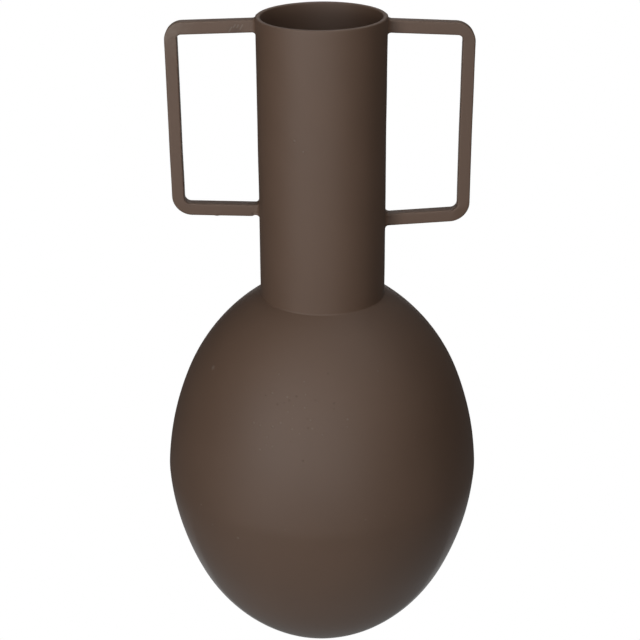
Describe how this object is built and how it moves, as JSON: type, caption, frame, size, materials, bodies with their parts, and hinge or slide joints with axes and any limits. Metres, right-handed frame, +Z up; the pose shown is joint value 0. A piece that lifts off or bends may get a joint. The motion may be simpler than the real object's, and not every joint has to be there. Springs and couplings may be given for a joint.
{
  "type": "urn vase",
  "caption": "Tall metal urn vase with an egg-shaped belly, a straight tube neck and a square-bar handle on each side of the neck, for holding stems.",
  "frame": {"origin": "centre of the flat base, on the surface that the vase stands on", "axes": "+Z up along the neck's axis, X through both handles with the right handle at +X, -Y towards the viewer"},
  "size_m": [0.214, 0.214, 0.4343],
  "materials": {
    "brown_coat": "matte dark brown powder coat with a fine grain"
  },
  "bodies": {
    "root": {"upper_shell": "brown_coat", "lower_shell": "brown_coat", "girth_weld": "brown_coat", "neck_tube": "brown_coat", "neck_weld": "brown_coat", "left_handle": "brown_coat", "left_upper_weld": "brown_coat", "left_lower_weld": "brown_coat", "right_handle": "brown_coat", "right_upper_weld": "brown_coat", "right_lower_weld": "brown_coat"}
  },
  "joints": []
}
